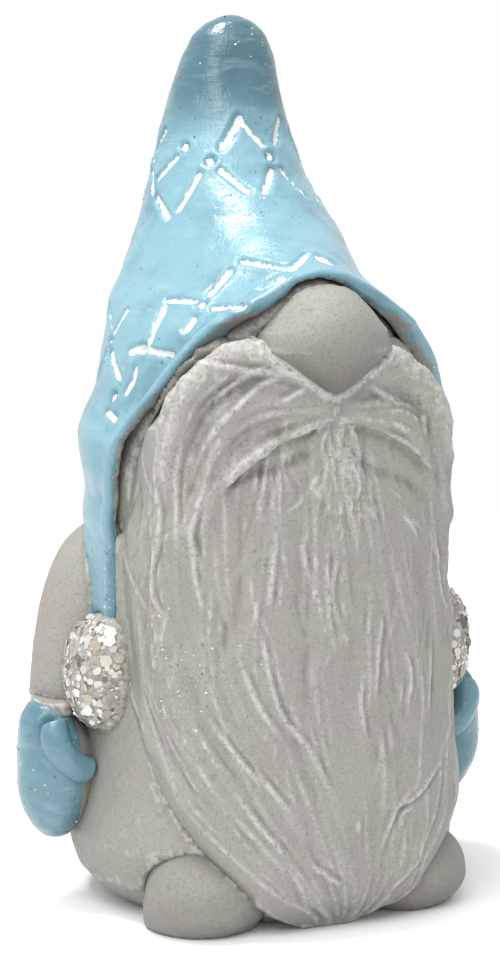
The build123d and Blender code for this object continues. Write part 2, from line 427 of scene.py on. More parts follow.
def cement_colour(nodes):
    """Pale cement: warm grey with greenish and pinkish clouds, and painted shade in its hollows."""
    warm, green, pink = (0.230, 0.221, 0.202), (0.226, 0.238, 0.205), (0.246, 0.212, 0.203)
    colour = nodes.mix(nodes.ramp(nodes.noise(22), 0.4, 0.62), warm, green)
    colour = nodes.mix(nodes.ramp(nodes.noise(15, distortion=0.6), 0.55, 0.72, 0, 0.65), colour, pink)
    grain = nodes.ramp(nodes.noise(0.9, 4), 0.35, 0.7, 0, 0.22)
    colour = nodes.mix(grain, colour, (0.31, 0.30, 0.28))
    # Small hollows are darkened: painted shade
    hollow_shade = nodes.ramp(nodes.mark("hollow"), 0.1, 0.9, 0, 0.55)
    colour = nodes.mix(hollow_shade, colour, (0.185, 0.18, 0.155))
    # Painted shade along the creases where features meet
    colour = nodes.mix(nodes.ramp(nodes.mark("seam"), 0.3, 1, 0, 0.6), colour, (0.165, 0.16, 0.14))
    # Painted shade inside the pits
    colour = nodes.mix(nodes.ramp(nodes.mark("pit"), 0.2, 0.9, 0, 0.7), colour, (0.16, 0.15, 0.13))
    rubbed = nodes.ramp(nodes.mark("hollow"), -0.2, -0.95, 0, 0.6)
    broken = nodes.ramp(nodes.noise(1.6, 5), 0.38, 0.6)
    rubbed = nodes.math("MULTIPLY", rubbed, broken)
    colour = nodes.mix(rubbed, colour, (0.44, 0.435, 0.415))
    colour = nodes.mix(nodes.mark("shade"), colour, (0.105, 0.098, 0.085))
    # Pale marks: whitish strands and scratches, and painted highlight along the moustache's crests and
    # rolls
    streak = nodes.math("MULTIPLY", nodes.mark("pale"), nodes.ramp(nodes.noise(1.1, 4), 0.3, 0.55))
    return nodes.mix(streak, colour, (0.46, 0.45, 0.43))


def cement():
    nodes = Nodes("cement")
    nodes.put(nodes.shader.inputs["Base Color"], cement_colour(nodes))
    nodes.put(nodes.shader.inputs["Roughness"], nodes.ramp(nodes.noise(6), 0.3, 0.7, 0.58, 0.8))
    nodes.shader.inputs["Specular IOR Level"].default_value = 0.35
    bump = nodes.bump(nodes.noise(1.3, 5), 0.22)
    bump = nodes.bump(nodes.ramp(nodes.noise(0.55, 2), 0.3, 0.42), 0.10, bump)
    nodes.put(nodes.shader.inputs["Normal"], bump)
    return nodes.material


def blue_paint():
    """Brushed gloss paint, with off-white rubbed into the carved pattern."""
    nodes = Nodes("blue_paint")
    blue, deep, light = (0.152, 0.290, 0.345), (0.066, 0.150, 0.200), (0.245, 0.385, 0.435)
    colour = nodes.mix(nodes.ramp(nodes.noise(17, 3), 0.42, 0.7, 0, 0.55), blue, deep)
    # Darker paint where marked: on the hat's tip partly a deeper blue and partly painted shade
    colour = nodes.mix(nodes.ramp(nodes.mark("darkened"), 0, 1, 0, 0.92), colour, (0.042, 0.105, 0.130))
    brushed = nodes.noise(3.2, 4, (0.4, 0.4, 1.3), 0.6, 0.5)
    colour = nodes.mix(nodes.ramp(brushed, 0.5, 0.78, 0, 0.35), colour, light)
    # Painted shade in the small hollows and along the creases where features meet
    colour = nodes.mix(nodes.ramp(nodes.mark("hollow"), 0.15, 1, 0, 0.6), colour, deep)
    colour = nodes.mix(nodes.ramp(nodes.mark("seam"), 0.4, 1, 0, 0.6), colour, deep)
    specks = nodes.ramp(nodes.noise(1.1, 1), 0.74, 0.77, 0, 0.8)
    colour = nodes.mix(specks, colour, (0.05, 0.07, 0.10))
    ragged = nodes.math("ADD", nodes.mark("fill"), nodes.ramp(nodes.noise(1.3, 4), 0.2, 0.8, -0.2, 0.2))
    rubbed = nodes.ramp(ragged, 0.5, 0.62)
    colour = nodes.mix(rubbed, colour, (0.56, 0.575, 0.56))
    bare = nodes.ramp(nodes.math("ADD", nodes.mark("bare"), nodes.noise(2.2, 3)), 0.95, 1.05)
    colour = nodes.mix(bare, colour, cement_colour(nodes))
    nodes.put(nodes.shader.inputs["Base Color"], colour)
    gloss = nodes.ramp(nodes.noise(5, 4), 0.35, 0.7, 0.2, 0.36)
    dull = nodes.math("MAXIMUM", bare, rubbed)
    gloss = nodes.math("ADD", gloss, nodes.math("MULTIPLY", dull, 0.3))
    nodes.put(nodes.shader.inputs["Roughness"], gloss)
    bump = nodes.bump(nodes.noise(1.0, 3, (0.15, 0.15, 1.5), 0.6), 0.06)
    bump = nodes.bump(nodes.noise(1.1, 3, (1.5, 1.5, 0.12), 0.6), 0.12, bump)
    bump = nodes.bump(nodes.noise(2.6, 3), 0.16, bump)
    nodes.put(nodes.shader.inputs["Normal"], bump)
    return nodes.material


def glitter(name, metal):
    """Foil flakes in cream, beige, pink and silver, each with its own tint."""
    nodes = Nodes(name)
    tint = nodes.mark("tint")
    colour = nodes.mix(nodes.ramp(tint, 0.12, 0.15), (0.12, 0.11, 0.10), (0.35, 0.31, 0.25))
    colour = nodes.mix(nodes.ramp(tint, 0.32, 0.36), colour, (0.50, 0.48, 0.42))
    colour = nodes.mix(nodes.ramp(tint, 0.78, 0.8), colour, (0.42, 0.35, 0.33))
    colour = nodes.mix(nodes.ramp(tint, 0.86, 0.9), colour, (0.52, 0.54, 0.56))
    nodes.put(nodes.shader.inputs["Base Color"], colour)
    nodes.shader.inputs["Metallic"].default_value = metal
    nodes.put(nodes.shader.inputs["Roughness"], nodes.ramp(nodes.noise(1.5), 0.3, 0.7, 0.18, 0.4))
    nodes.shader.inputs["Coat Weight"].default_value = 0.4
    nodes.put(nodes.shader.inputs["Normal"], nodes.bump(nodes.noise(0.7, 3), 0.08))
    return nodes.material


def pompom_glue():
    """The pale rough bed that the flakes are pressed into."""
    nodes = Nodes("glitter_bed")
    tone = nodes.ramp(nodes.noise(1.2, 5), 0.35, 0.65)
    colour = nodes.mix(tone, (0.20, 0.19, 0.17), (0.34, 0.33, 0.30))
    # Painted shade in the hollows
    colour = nodes.mix(nodes.ramp(nodes.mark("hollow"), 0.1, 0.8, 0, 0.6), colour, (0.18, 0.17, 0.15))
    nodes.put(nodes.shader.inputs["Base Color"], colour)
    nodes.put(nodes.shader.inputs["Roughness"], nodes.ramp(nodes.noise(0.8, 2), 0.4, 0.6, 0.2, 0.55))
    nodes.put(nodes.shader.inputs["Normal"], nodes.bump(nodes.noise(0.6, 4), 0.25))
    return nodes.material


CEMENT, PAINT = cement(), blue_paint()
FLAKE, DUST, BED = glitter("glitter_flake", 0.35), glitter("glitter_dust", 0.6), pompom_glue()

# -------------------- the brim and the nose

# The brim's edge, from the middle of the forehead to the left flap
BRIM = [
    (0, -31.1, 143),
    (8, -31.3, 140.8),
    (18, -30, 134.7),
    (24, -27.1, 130.6),
    (33, -20.2, 119.7),
    (38.5, -14, 109.7),
    (40.5, -10, 98),
    (40.7, -7.6, 86),
]
brim = curve_through(BRIM, 1.0)
brim = np.vstack([brim, brim * (-1, 1, 1)])

# Half the nose's width, at some shares of its height; how far its foot comes forward and down
NOSE_LEVELS = [0, 0.15, 0.3, 0.45, 0.6, 0.75, 0.9, 1]
NOSE_HALF_WIDTHS = [2.0, 6.5, 11.0, 15.9, 14.6, 11.4, 7.8, 4.0]
NOSE_FORWARD, NOSE_DROP = 3.2, 3.3

nose = Clay("nose", 0.5, soften=6)
# The solid's plain bulb becomes a soft triangle: wide below its middle, with a point at the foot
nose_low, nose_high = corners(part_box("nose"))
level = np.clip((nose.points[:, 2] - nose_low[2]) / (nose_high[2] - nose_low[2]), 0, 1)
solid_width = nose_high[0] * np.sqrt(np.clip(1 - (2 * level - 1) ** 2, 0.16, 1))
nose.points[:, 0] *= np.interp(level, NOSE_LEVELS, NOSE_HALF_WIDTHS) / solid_width
nose.points[:, 1] -= NOSE_FORWARD * smoothstep(0.5, 0, level)
nose.points[:, 2] -= NOSE_DROP * smoothstep(1, 0.3, level)
nose.seal(["moustache_left", "moustache_right", "head", "hat"])
nose.lumps(21, 0.35)
nose.marks["shade"] = 0.06 + 0.68 * smoothstep(0.75, 0.12, level)
nose.pits(4, 22)
nose.finish(CEMENT)
nose_skin = nose.skin()

# -------------------- hair

# The curves that the moustache's finer strands run between on the left side, across and up
LOBE_TOP = [(0, 121.8), (5, 122.8), (14, 128.0), (21, 130.8), (29, 127.5), (35, 117), (37.6, 88)]
LOBE_FOOT = [(0, 113), (10, 109.8), (19.5, 104.8), (26, 96), (31, 87.5), (34.5, 84), (37.6, 82)]

# The moustache's upper edge, across and up: above it the hair is cut back into the hat's shadow
MOUSTACHE_TOP = np.transpose(
    [(-38, 106), (-36, 112), (-35, 116.5), (-33.7, 119.4), (-31.6, 122.5), (-27.2, 126.7)]
    + [(-23.4, 129), (-16, 130), (-12, 128), (-8, 125), (8, 123), (10, 125), (15.3, 127.5)]
    + [(18.5, 126.5), (22, 124), (25.3, 121.7), (27.8, 119), (29.5, 116), (32, 109), (36, 96)]
)

# Half the beard's width at some heights
BEARD_WIDTH = ([0, 6.5, 19.5, 31, 54, 74, 101, 122], [7, 16.7, 28, 34.2, 37.2, 37.9, 37, 34])

# Strands that stand out, as across and up on the front, from root to tip
BEARD_STRANDS = [
    [(-20, 78), (-19, 69), (-18, 63), (-16, 54), (-13, 48), (-9, 43), (-5, 35), (2, 23)],
    [(-36, 95), (-36, 77), (-33, 68)],
    [(-32, 96), (-30, 78), (-28, 72)],
    [(-15, 88), (-17, 72)],
    [(-8, 90), (-9, 86), (-8, 78)],
    [(-3, 90), (-4, 82), (-4, 70), (-3, 62)],
    [(-1, 85), (-3, 77), (-2, 68)],
    [(9, 73), (7, 58), (7, 50)],
    [(13, 65), (16, 56), (14, 49)],
    [(23, 66), (21, 44)],
    [(-21, 40), (-12, 28)],
    [(-25, 36), (-19, 26), (-12, 18)],
    [(-10, 19), (1, 10)],
    [(22, 17), (14, 10), (10, 6)],
    [(27, 38), (16, 29), (7, 28)],
    [(25, 90), (26, 82), (27, 74), (29, 66)],
    [(-35, 114), (-36.5, 102), (-36.5, 90), (-36, 78), (-34, 66)],
    [(-31, 114), (-33.5, 102), (-34, 90), (-33, 80)],
    [(-27, 108), (-29.5, 98), (-30, 88), (-28, 78)],
    [(-24, 66), (-20, 54), (-14, 44)],
    [(-30, 52), (-24, 42), (-17, 33)],
    [(4, 62), (3, 52), (5, 42)],
    [(33, 60), (30, 46), (24, 36)],
    [(18, 34), (12, 26), (8, 16)],
]
# The moustache's strands, its raised folds, the hollows beside them, and its rolled lower edge
MOUSTACHE_STRANDS = [
    [(-14, 125), (-21, 122), (-27, 117)],
    [(-10, 123), (-14, 122), (-18, 120), (-23, 115), (-25, 112)],
    [(-6, 120), (-9, 119), (-13, 117)],
    [(-1, 120), (-5, 122), (-9, 126), (-12, 128), (-16, 129), (-19, 130)],
    [(1, 120), (5, 122), (11, 124), (16, 127)],
    [(8, 120), (16, 116)],
    [(13, 112), (19, 109)],
    [(23, 113), (23, 108)],
    [(27, 114), (32, 108), (32, 101)],
]
MOUSTACHE_CRESTS = [
    [(-4, 121), (-12, 126.5), (-20, 128), (-26, 125.5), (-31.5, 119), (-34.5, 108.5), (-36, 94)],
    [(4, 121), (10, 123), (15.3, 125), (20, 123), (24.5, 119.5), (28, 114), (30, 107), (31, 98)],
]
MOUSTACHE_VALLEYS = [
    [(-9, 117.5), (-15, 120), (-21, 121), (-26, 117.5), (-29, 111), (-31, 102), (-32, 92)],
    [(7, 117.5), (12, 118.5), (17, 117.5), (21.5, 113.5), (24.5, 108), (27, 100), (29, 92)],
    [(-6, 113), (-11, 111.5), (-18, 111), (-23, 107), (-26.5, 101), (-28, 95)],
]
MOUSTACHE_ROLLS = [
    [(-3, 111), (-8, 109), (-12, 107), (-18, 106), (-22, 104), (-24, 101), (-25, 97)],
    [(1, 112), (4, 109), (8, 106), (13, 104), (18, 102), (21, 99), (22, 95)],
]

HAIR = ["beard", "moustache_left", "moustache_right", "lip_tuft"]
hair_front = tree_of(*HAIR)


def laid_on_hair(points):
    """Front points, as across and up, to the height map's arc length and height."""
    found = []
    for x, z in points:
        hit = seen_from_front(hair_front, x, z)
        found.append((x, hit.y if hit else BACK_OF_BEARD, z))
    return wrap(np.array(found, float))


def beard_path(share, top, foot, drift):
    """A strand that keeps its share of the beard's width while it falls, with a slow drift."""
    up = np.linspace(top, foot, 6)
    width = np.interp(up, *BEARD_WIDTH)
    across = (share + drift * np.linspace(0, 1, 6) ** 2) * width * (1 - 0.16 * smoothstep(62, 12, up))
    gather = smoothstep(62, 5, up) * 5
    return np.stack([across + gather, up], 1)


def arc_path(path):
    """A path across the front as arc lengths, for shares of the width up to the sides."""
    half = np.interp(path[:, 1], *BEARD_WIDTH)
    share = np.clip(path[:, 0] / half, -1, 1)
    return np.stack([share * half * 1.45 * (0.72 + 0.28 * np.abs(share)), path[:, 1]], 1)


beard_relief = Relief(62, -2, 140)
for _ in range(46):
    strand = beard_path(rng.uniform(-1, 1), rng.uniform(60, 125), rng.uniform(0, 60), rng.normal(0, 0.08))
    beard_relief.carve(
        arc_path(strand),
        rng.uniform(1.8, 3.4),
        ridge=rng.uniform(0.2, 0.45),
        groove=rng.uniform(0.1, 0.3),
        beside=rng.choice([-1, 1]) * 3.0,
        ends=0.35,
    )
for _ in range(330):
    top = rng.uniform(8, 122)
    strand = beard_path(rng.uniform(-1, 1), top, top - rng.uniform(8, 40), rng.normal(0, 0.07))
    beard_relief.carve(
        arc_path(strand),
        rng.uniform(0.35, 0.7),
        ridge=rng.uniform(0.02, 0.13),
        groove=rng.uniform(0.05, 0.22),
        beside=rng.choice([-1, 1]) * 0.9,
        pale=rng.uniform(0, 0.65) ** 1.5,
        ends=rng.uniform(0.2, 0.45),
    )
for strand in BEARD_STRANDS:
    beard_relief.carve(
        laid_on_hair(strand), 0.55, ridge=0.28, groove=0.42, beside=1.0, pale=0.75, ends=0.4
    )

moustache_relief = Relief(62, 75, 140)
lobe_top, lobe_foot = (curve_through(edge, 0.5) for edge in (LOBE_TOP, LOBE_FOOT))
for side in SIDES.values():
    for share in np.linspace(0.06, 0.94, 26):
        start = rng.uniform(0, 0.45)
        along = np.linspace(start, min(1, start + rng.uniform(0.3, 0.7)), 6)
        upper = lobe_top[(along * (len(lobe_top) - 1)).astype(int)]
        lower = lobe_foot[(along * (len(lobe_foot) - 1)).astype(int)]
        strand = (upper * (1 - share) + lower * share) * (side, 1)
        wide = rng.random() < 0.35
        moustache_relief.carve(
            laid_on_hair(strand),
            rng.uniform(1.3, 2.2) if wide else rng.uniform(0.45, 0.8),
            ridge=rng.uniform(0.3, 0.5) if wide else rng.uniform(0.03, 0.14),
            groove=rng.uniform(0.1, 0.26),
            beside=rng.choice([-1, 1]) * (2.2 if wide else 0.9),
            pale=0 if wide else rng.uniform(0, 0.35),
        )
for strand in MOUSTACHE_STRANDS:
    moustache_relief.carve(
        laid_on_hair(strand), 0.65, ridge=0.4, groove=0.4, beside=-1.2, pale=0.7, ends=0.3
    )
# The crests are also painted paler along their tops: painted highlight
for crest in MOUSTACHE_CRESTS:
    moustache_relief.carve(laid_on_hair(crest), 2.5, ridge=1.1, pale=0.4, ends=0.15)
for valley in MOUSTACHE_VALLEYS:
    moustache_relief.carve(laid_on_hair(valley), 2.3, ridge=-1.2, ends=0.25)
# The rolls too get a painted highlight along their tops
for roll in MOUSTACHE_ROLLS:
    moustache_relief.carve(laid_on_hair(roll), 1.8, ridge=1.0, pale=0.4, ends=0.2)
    just_below = np.array(roll) - (0, 3.6)
    beard_relief.carve(laid_on_hair(just_below), 1.6, groove=0.7, ends=0.2)

tuft_relief = Relief(20, 85, 120)
for _ in range(60):
    up = rng.uniform(92, 114)
    across = 1.5 + rng.uniform(-1, 1) * (2 + 0.55 * (114 - up))
    fall = rng.uniform(3, 9)
    strand = [(across, up), (across * 1.2 + rng.normal(0, 1), up - fall / 2), (across * 1.35, up - fall)]
    width, rise, cut = rng.uniform(0.3, 0.6), rng.uniform(0.04, 0.26), rng.uniform(0.04, 0.2)
    for grid in (tuft_relief, beard_relief):
        grid.carve(strand, width, ridge=rise, groove=cut, beside=0.8, pale=2.8 * rise, ends=0.3)

HAIR_NEIGHBOURS = {
    "beard": ["head", "coat", "foot_left", "foot_right"],
    "moustache_left": ["nose", "head", "moustache_right"],
    "moustache_right": ["nose", "head", "moustache_left"],
    "lip_tuft": [],
}
# How far the beard's sides stand out, at some heights
SIDE_SWELL = [60, 72, 80, 86, 94, 102, 110], [0, 0.2, 0.6, 0.5, -0.8, -0.2, 0.4]
# How far its left side is drawn in at some heights, and how far it spreads near the ground
LEFT_TRIM = [50, 60, 66, 73, 82, 91, 98, 105, 112], [0, 0.4, 0.8, 1.8, 1.2, 1.7, 1.6, 1.3, 0]
LEFT_SPREAD = 3.2
# How far the hair is moved in: where it is cut back, and where it lies under other hair
BEARD_CUT, MOUSTACHE_CUT = 6.3, 8.5
BEARD_UNDER, MOUSTACHE_UNDER = 0.75, 3.4
# How far it draws back from the brim
BRIM_GAP = 1.0


def swell(points):
    """How far the beard stands out at the sides of the face, where the moustache merges into it."""
    across, up = np.abs(points[:, 0]), points[:, 2]
    return np.interp(up, *SIDE_SWELL) * smoothstep(24, 36, across)


def cut_edge(points):
    """Where the hair is cut back above the moustache's upper edge: deepest at the front left."""
    above = smoothstep(-0.3, 1.3, points[:, 2] - np.interp(points[:, 0], *MOUSTACHE_TOP))
    share = np.interp(points[:, 0], [-12, -8, 8, 12], [0.6, 0, 0, 1])
    share *= 1 - 0.75 * smoothstep(-27, -18, points[:, 1]) * smoothstep(0, 10, points[:, 0])
    return above * share * smoothstep(82, 116, points[:, 2])


def merged(points):
    """How far the moustache has sunk into the beard: not at all under the nose, fully at the sides."""
    across, up = np.abs(points[:, 0]), points[:, 2]
    outer = smoothstep(21, 32, across)
    lower = smoothstep(106, 95, up) * smoothstep(15, 24, across)
    return np.maximum(outer, lower)


def tucked(points):
    """The foot of the figure draws in a little towards the ground, in front."""
    low = np.clip(1 - (points[:, 2] - GROUND) / 13, 0, 1)
    return points + low[:, None] ** 2 * smoothstep(-14, -26, points[:, 1])[:, None] * (0, 4.5, 0)


def shape_beard(beard, outer, cut, sink, inward):
    """The beard's surface, deeper where other hair lies over it. Returns where the moustache does."""
    lobes = beard.averaged(beard.behind("moustache_left", "moustache_right"), 3)
    tuft = beard.averaged(beard.behind("lip_tuft"), 3)
    side_swell = swell(beard.points)
    # Where the moustache merges into the beard, the step at its edge is blurred away
    blurred = (outer * smoothstep(0.2, 0.7, sink))[:, None]
    beard.points += blurred * (beard.averaged(beard.points, 90) - beard.points)
    hidden = np.maximum(lobes * smoothstep(0.5, 0.15, sink), 0.5 * tuft)
    beard.push(outer * (side_swell * (1 - 0.5 * lobes) - BEARD_UNDER * hidden))
    beard.points += (outer * BEARD_CUT * cut)[:, None] * inward
    trim = np.interp(beard.points[:, 2], *LEFT_TRIM)
    beard.points[:, 0] -= trim * smoothstep(24, 37, beard.points[:, 0])
    low = bell(beard.points[:, 2] - 23, 12) + bell(beard.points[:, 2] - 3, 9)
    beard.points[:, 0] += outer * LEFT_SPREAD * low * smoothstep(3, 25, beard.points[:, 0])
    beard.points = tucked(beard.points)
    return lobes


def shape_tuft(tuft, outer):
    """The rough tuft under the nose, lowest at its rim, where it grows out of the beard."""
    rim = tuft.averaged(tuft.distance_to(tree_of("beard"), 4), 3)
    tuft.push(-outer * (0.7 + 0.6 * bell(rim, 2.2)))
    tuft.push(0.3 * outer * noise(tuft.points, 1.7, 9))


def shape_moustache(moustache, outer, cut, sink, inward):
    """A side of the moustache, moved in under the beard's surface where it merges into it."""
    gone = smoothstep(0.35, 1, sink)
    moustache.push(outer * 0.5 * swell(moustache.points) * (1 - gone))
    depth = np.maximum(MOUSTACHE_UNDER * gone, MOUSTACHE_CUT * cut)
    moustache.points += depth[:, None] * inward


for node, neighbours in HAIR_NEIGHBOURS.items():
    # The beard carries on under the other hair, so that they can grow out of it
    hair = Clay(node, 0.6, soften=6, reach_under=HAIR[1:] if node == "beard" else [])
    hair.seal(neighbours)
    outer = smoothstep(BACK_OF_BEARD - 0.5, BACK_OF_BEARD - 4, hair.points[:, 1])
    cut, sink = cut_edge(hair.points), merged(hair.points)
    near_brim = bell(distance_along(hair.points, brim), 3.2) * outer
    inward = -away_from_middle(hair.points)
    if node == "beard":
        lobes = shape_beard(hair, outer, cut, sink, inward)
    elif node == "lip_tuft":
        shape_tuft(hair, outer)
    else:
        lobes = 1
        shape_moustache(hair, outer, cut, sink, inward)
    shadowed = hair.averaged(cut, 4)[:, None]
    hair.points += outer[:, None] * shadowed * (hair.averaged(hair.points, 25) - hair.points)
    height, pale = tuft_relief.sample(hair.points)
    if node != "lip_tuft":
        rolls, pale_rolls = moustache_relief.sample(hair.points)
        strands, pale_strands = beard_relief.sample(hair.points)
        share = np.maximum(1 - lobes, sink)
        height = lobes * rolls + share * strands
        pale = np.maximum(lobes * pale_rolls, share * pale_strands)
    height = height * (1 + 0.45 * noise(hair.points, (1.6, 1.6, 3.2), 12))
    by_nose = hair.averaged(hair.distance_to(nose_skin, 4), 2)
    hair.lumps(3, 0.35)
    hair.push(outer * (1 - cut) * height - BRIM_GAP * near_brim + 0.5 * bell(by_nose, 0.9))
    hair.marks["pale"] = np.maximum(outer * (1 - cut) * pale, 0.8 * bell(by_nose - 0.5, 0.6))
    hair.marks["shade"] = 0.2 * near_brim + 0.3 * outer * np.clip(-height / 1.5, 0, 1)
    hair.pits(14, 5)
    hair.finish(CEMENT)

# -------------------- face and body

# The head's width against its solid's, the share of its width that the coat gains at its skirt,
# and the share that it loses under the beard
HEAD_WIDTH, SKIRT_GAIN, COAT_LOSS = 0.972, 0.062, 0.1

head = Clay("head", 0.9)
head.seal(["hat", "nose", "beard", "moustache_left", "moustache_right"])
head.points *= (HEAD_WIDTH, HEAD_WIDTH, 1)
head.lumps(31, 0.3, 0.05)
head.marks["shade"] = np.full(len(head.points), 0.1)
head.finish(CEMENT)

# The coat carries on under the beard, a little deeper, so that its edge is never seen
coat = Clay("coat", 0.85, soften=5, reach_under=["beard"])
coat_skin = tree_of("coat")
below = smoothstep(0.3, 2.4, coat.distance_to(coat_skin, 3))
coat.points *= 1 - below[:, None] * (COAT_LOSS, COAT_LOSS, 0)
coat.seal(["foot_left", "foot_right", "sleeve_left", "sleeve_right", "mitten_left", "mitten_right"])
skirt = bell(coat.points[:, 2] - 12, 14)[:, None]
coat.points *= 1 + skirt * (SKIRT_GAIN, 0, 0)
coat.lumps(41, 0.55, 0.1)
# Scratches, as bearings in degrees from the front and heights: three in front, seven behind
scratches = [[(-82, 9), (-71, 18), (-64, 26)], [(-61, 32), (-58, 27)], [(75, 14), (66, 25)]]
for bearing in rng.uniform(100, 260, 7):
    height = rng.uniform(12, 50)
    scratches.append([(bearing, height), (bearing + rng.uniform(-9, 9), height + rng.uniform(6, 14))])
scratched = np.full(len(coat.points), 9.0)
for scratch in scratches:
    places = curve_through(scratch, 1.0)
    path = [seen_from(coat_skin, bearing, Vector((0, 0, height))) for bearing, height in places]
    scratched = np.minimum(scratched, distance_along(coat.points, path))
scratched += 0.5 * noise(coat.points, 1.5, 43)
coat.push(0.12 * bell(scratched, 0.7) - 0.15 * bell(scratched - 1.4, 0.7))
coat.marks["pale"] = 0.7 * bell(scratched, 0.7)
coat.pits(26, 42)
coat.finish(CEMENT)

# Each part of a limb with its neighbours, and its size against its solid's
LIMBS = {
    "foot": (["coat", "beard"], (1.1, 1, 1)),
    "sleeve": (["coat", "cuff", "ear_flap", "pompom", "hat"], (1, 1, 1)),
    "cuff": (["sleeve", "mitten"], (0.9, 0.92, 1.15)),
}
for side_name in SIDES:
    for seed, (part, (touching, stretch)) in enumerate(LIMBS.items()):
        clay = Clay(f"{part}_{side_name}", 0.6, soften=6)
        clay.seal([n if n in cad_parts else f"{n}_{side_name}" for n in touching])
        clay.points = tucked(clay.points)
        centre = (clay.points.min(0) + clay.points.max(0)) / 2
        clay.points = centre + (clay.points - centre) * stretch
        if part == "foot":
            # The boots stay inside the CAD's box and stand on the ground
            clay.points[:, 1] += 0.8
            clay.points[:, 2] -= clay.points[:, 2].min() - GROUND
            clay.marks["shade"] = np.full(len(clay.points), 0.3)
        clay.lumps(51 + seed, 0.45)
        clay.pits(5, 55 + seed)
        clay.finish(CEMENT)

# -------------------- painted features

# Carved stars on the hat's front: bearing from the front in degrees, and height
HAT_DOTS = [(-37, 167), (13, 168), (-60, 170), (-41, 137), (-70, 127), (-86, 116)]
HAT_STROKES = [
    ((-11, 176.5), (-27, 170)),
    ((-11, 176.5), (8, 170.5)),
    ((-29, 165), (-13, 160.5)),
    ((-46, 164), (-61, 156.5)),
    ((-66, 168), (-88, 163)),
    ((-86, 158.5), (-71, 154.5)),
    ((39, 176), (23, 171)),
    ((10, 165), (-2, 160.5)),
    ((20, 165), (29, 159)),
    ((54, 173), (56, 168.5)),
    ((66, 160), (44, 157.5)),
    ((-23, 146), (-7, 144.7)),
    ((-1, 147.5), (-8, 144.7)),
    ((3, 147), (6, 145.5)),
    ((-29, 143.6), (-38, 139)),
    ((-59, 137.3), (-44, 137.5)),
    ((-36, 136.5), (-25, 137.3)),
    ((-60, 136), (-64, 131.5)),
    ((-44, 134), (-47, 132)),
    ((-12, 143), (-19, 140.7)),
    ((-78, 126), (-71, 127)),
    ((-69, 127), (-55, 126.3)),
    ((-60, 135), (-66, 128.4)),
    ((-75, 122.5), (-79, 117.6)),
    ((-84, 113), (-79, 112)),
]
# The two bands of stars carry on round the back: bearings, height, and half a star's spread
for bearings, height, half_star in (
    (np.linspace(84, 252, 5), 166.5, 15),
    (np.linspace(78, 262, 7), 127, 11),
):
    for bearing in bearings:
        HAT_DOTS.append((bearing, height))
        for turn, rise in ((-1, 7), (1, 7), (-1, -7), (1, -7)):
            inner = (bearing + 0.25 * turn * half_star, height + 0.3 * rise)
            HAT_STROKES.append((inner, (bearing + turn * half_star, height + rise)))
# The hat's width against its solid's, at some heights; how far its brim lifts, by bearing
HAT_SLIMMING = (
    [90, 94, 107, 116, 125, 134, 142, 151, 165],
    [0, -0.013, 0.045, -0.02, -0.022, -0.026, -0.058, -0.002, 0],
)
BRIM_LIFT = (
    [-80, -70, -62, -48, -38, -21, 0, 21, 45, 69, 80],
    [0, 1.5, 2.8, 3.3, 2.8, 1.8, 1.2, 1.8, 1.6, 0.7, 0],
)

hat = Clay("hat", 0.7, soften=5)
hat.seal(["head"])
# Over the ear flaps the hat's edge reaches down inside them, so that they grow out of it
flap_low, flap_high = corners(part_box("ear_flap_left"))
lap = smoothstep(flap_high[2] + 3, flap_high[2], hat.points[:, 2])
lap *= smoothstep(flap_high[1] + 4, flap_high[1] - 1, hat.points[:, 1])
lap *= smoothstep(flap_low[0] - 6, flap_low[0], np.abs(hat.points[:, 0]))
hat.points -= lap[:, None] * (np.sign(hat.points[:, :1]) * (0.9, 0, 0) + (0, 0, 5))
slimming = hat.averaged(np.interp(hat.points[:, 2], *HAT_SLIMMING), 10) * (1 - lap)
hat.points *= 1 + slimming[:, None] * (1, 0.4, 0)
# At some heights it stands a little to the left or right of its solid
sideways = 1.1 * bell(hat.points[:, 2] - 121, 9) - 0.5 * bell(hat.points[:, 2] - 141, 5)
sideways += 0.7 * bell(hat.points[:, 2] - 152, 6)
hat.points[:, 0] += sideways * (1 - lap)
hat.lumps(61, 0.6, 0.06)
# The brim rolls outwards and up along its edge, with a shallow trough behind the roll
from_brim = distance_along(hat.points, brim)
outward = away_from_middle(hat.points)
bearing = np.degrees(np.arctan2(hat.points[:, 0], -hat.points[:, 1]))
brim_bearing = np.degrees(np.arctan2(brim[:, 0], -brim[:, 1]))
order = np.argsort(brim_bearing)
above_brim = hat.points[:, 2] - np.interp(bearing, brim_bearing[order], brim[order, 2])
hat.points[:, 2] += np.interp(bearing, *BRIM_LIFT) * smoothstep(8, 0, above_brim)
hat.points += bell(from_brim, 2.8)[:, None] * 0.9 * outward
hat.push(-0.5 * bell(from_brim - 5.5, 2.0))
# The paint stops at the brim: its underside is bare and in shadow
facing = (hat.normals() * (0.7 * outward + (0, 0, 0.7))).sum(1)
underside = smoothstep(0.05, -0.25, facing) * bell(from_brim, 12) * (1 - lap)
hat_skin = hat.skin()


def on_hat(bearing, height):
    """The point on the hat's surface in a direction, seen from the hat's own middle line."""
    middle = Vector((0, np.interp(height, [86, 120, 150, 170, 200], [0, 0, 16, 22, 19]), height))
    return seen_from(hat_skin, bearing, middle)


